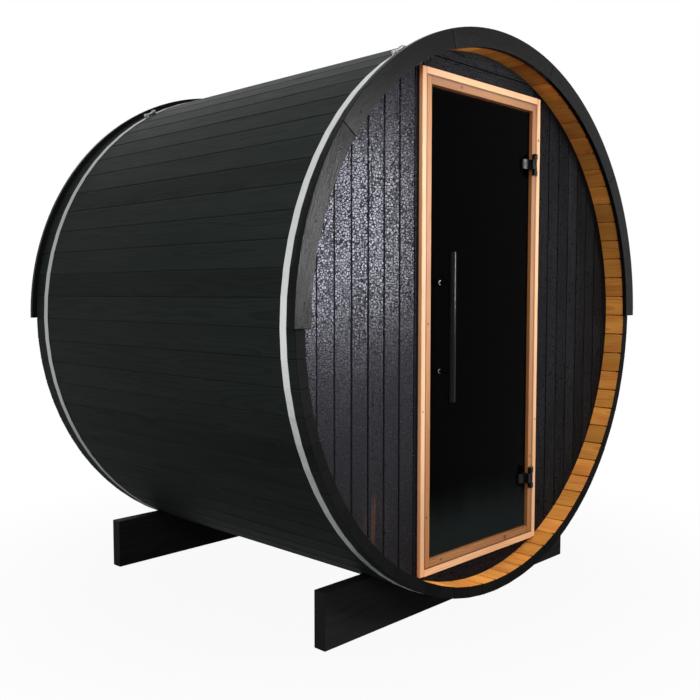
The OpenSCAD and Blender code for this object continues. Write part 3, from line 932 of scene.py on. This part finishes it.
def glass_and_handle():
    single("door_glass", "glass", GLASS_ROUND, "xyz", "dark_glass", "door")
    single("door_handle", "bar", BAR_ROUND, "xyz", "black_metal", "door", segments=3)
    low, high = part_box("door_handle")
    middle = (low + high) / 2
    collars = Build()
    for way in (-1, 1):
        spot = (middle.x, GLASS_Y, middle.z + way * STANDOFF_PITCH / 2)
        collars.lathe(COLLAR, spot, (0, -1, 0), sides=28)
    collars.piece("handle_collars", "door", ["cap"])


# Widths of the rounded arrises of cradles and deck
CRADLE_ROUND = 0.0025
DECK_ROUND = 0.002
# Width of a deck board with its slot, a place left of the deck to count from, and the number of tones
DECK_PITCH = 0.102
DECK_LEFT = -1
DECK_TONES = 20


def cradles():
    for end in ("front", "rear"):
        single(end + "_cradle", "cradle", CRADLE_ROUND, "zyx", "cradle_wood")


def deck():
    tones = [rng.random() for _ in range(DECK_TONES)]

    def tone(v):
        return tones[int((v[0] - DECK_LEFT) / DECK_PITCH) % DECK_TONES]
    single("floor_deck", "deck", DECK_ROUND, "xzy", "deck_wood", tone=tone)


# Camera fitted to the photo: place, aim in radians from +Y towards +X and upwards, and lens in millimetres
CAMERA_AT = (-2.8928, -2.8296, 1.2806)
CAMERA_YAW = 0.8008
CAMERA_PITCH = -0.0674
CAMERA_LENS = 44.43
CAMERA_SENSOR = 36.0
# Soft daylight of the world, and the grey and the radius of the floor
DAYLIGHT = (0.95, 0.98, 1.0)
DAYLIGHT_LEVEL = 0.2
FLOOR_GREY = (0.15, 0.15, 0.15)
FLOOR_R = 60
# Kinds of rays that meet a white background
SEEN = ("Is Camera Ray",)
MIRRORED = ("Is Glossy Ray", "Is Transmission Ray")
# How white the floor is to them: level at the part, and the distances where it starts to rise and is full
FLOOR_WHITES = ((SEEN, 0.94, 0.8, 2.5), (MIRRORED, 0.25, 1.2, 3.8))


def aim(obj, ahead):
    obj.rotation_mode = "QUATERNION"
    obj.rotation_quaternion = Vector(ahead).to_track_quat("-Z", "Y")


def camera():
    scene = bpy.context.scene
    obj = bpy.data.objects.new("camera", bpy.data.cameras.new("camera"))
    obj.location = CAMERA_AT
    level = math.cos(CAMERA_PITCH)
    aim(obj, (math.sin(CAMERA_YAW) * level, math.cos(CAMERA_YAW) * level, math.sin(CAMERA_PITCH)))
    obj.data.sensor_width = CAMERA_SENSOR
    obj.data.lens = CAMERA_LENS
    scene.collection.objects.link(obj)
    scene.camera = obj


def one_of(t, kinds):
    """1 for rays of these kinds, and 0 for others."""
    total = 0.0
    for kind in kinds:
        total = t.math("ADD", total, t.add("LightPath", kind, {}), clamp=True)
    return total


def daylight():
    """A world that is white to look at and gives a soft light."""
    world = bpy.data.worlds.new("studio")
    world.use_nodes = True
    bpy.context.scene.world = world
    t = Nodes(world.node_tree)
    soft = t.add("Background", 0, {0: DAYLIGHT, 1: DAYLIGHT_LEVEL})
    white = t.add("Background", 0, {0: (1, 1, 1), 1: 1.0})
    t.end("World", t.mix_shaders(one_of(t, SEEN + MIRRORED), soft, white))


def paper():
    """Floor material: grey paper that catches shadows and is whiter to look at with the distance."""
    material = bpy.data.materials.new("paper")
    material.use_nodes = True
    t = Nodes(material.node_tree)
    distance = t.length(t.place())
    share = 0.0
    for kinds, low, near, off in FLOOR_WHITES:
        share = t.math("MULTIPLY_ADD", one_of(t, kinds), t.span(distance, near, off, low, 1), share)
    matt = t.add("BsdfDiffuse", 0, {0: FLOOR_GREY})
    glow = t.add("Emission", 0, {})
    t.end("Material", t.mix_shaders(share, matt, glow))
    return material


def ground():
    bm = bmesh.new()
    bmesh.ops.create_circle(bm, cap_ends=True, radius=FLOOR_R, segments=96)
    mesh = bpy.data.meshes.new("floor")
    bm.to_mesh(mesh)
    bm.free()
    mesh.materials.append(paper())
    floor = bpy.data.objects.new("floor", mesh)
    bpy.context.scene.collection.objects.link(floor)


def lamp(name, at, look, size, watts, colour=(1, 1, 1), spread=180):
    """A soft box from a place towards another, with its spread in degrees."""
    data = bpy.data.lights.new(name, "AREA")
    data.shape = "RECTANGLE"
    data.size, data.size_y = size
    data.energy = watts
    data.color = colour
    data.spread = math.radians(spread)
    obj = bpy.data.objects.new(name, data)
    obj.location = at
    obj.visible_camera = False
    aim(obj, Vector(look) - Vector(at))
    bpy.context.scene.collection.objects.link(obj)


def lamps():
    lamp("front_softbox", at=(1.75, -3.1, 1.74), look=(-1.03, -0.8, 1.42), size=(0.4, 1.2),
         watts=32, spread=95)
    lamp("strip_softbox", at=(1.02, -3.1, 1.5), look=(-1.53, -0.8, 1.35), size=(0.24, 1.05),
         watts=4.5, spread=40)
    lamp("left_softbox", at=(-2.6, -2.9, 2.25), look=(0.2, -0.8, 0.8), size=(0.9, 0.9), watts=34)
    lamp("top_softbox", at=(-0.8, -2.5, 4.3), look=(0, -0.7, 0.9), size=(2.6, 2.0),
         watts=74, colour=(1, 0.965, 0.87))
    lamp("side_softbox", at=(-4.2, 0.4, 0.8), look=(-1.1, 0, 0.8), size=(2.4, 1.2), watts=17)
    lamp("rear_softbox", at=(1.2, 3.8, 3.4), look=(0, 0.4, 1.2), size=(4.0, 3.0), watts=24)


staves()
arches()
walls()
bands()
door_frame()
hinges()
glass_and_handle()
cradles()
deck()
bpy.context.scene.view_settings.view_transform = "Standard"
camera()
daylight()
ground()
lamps()
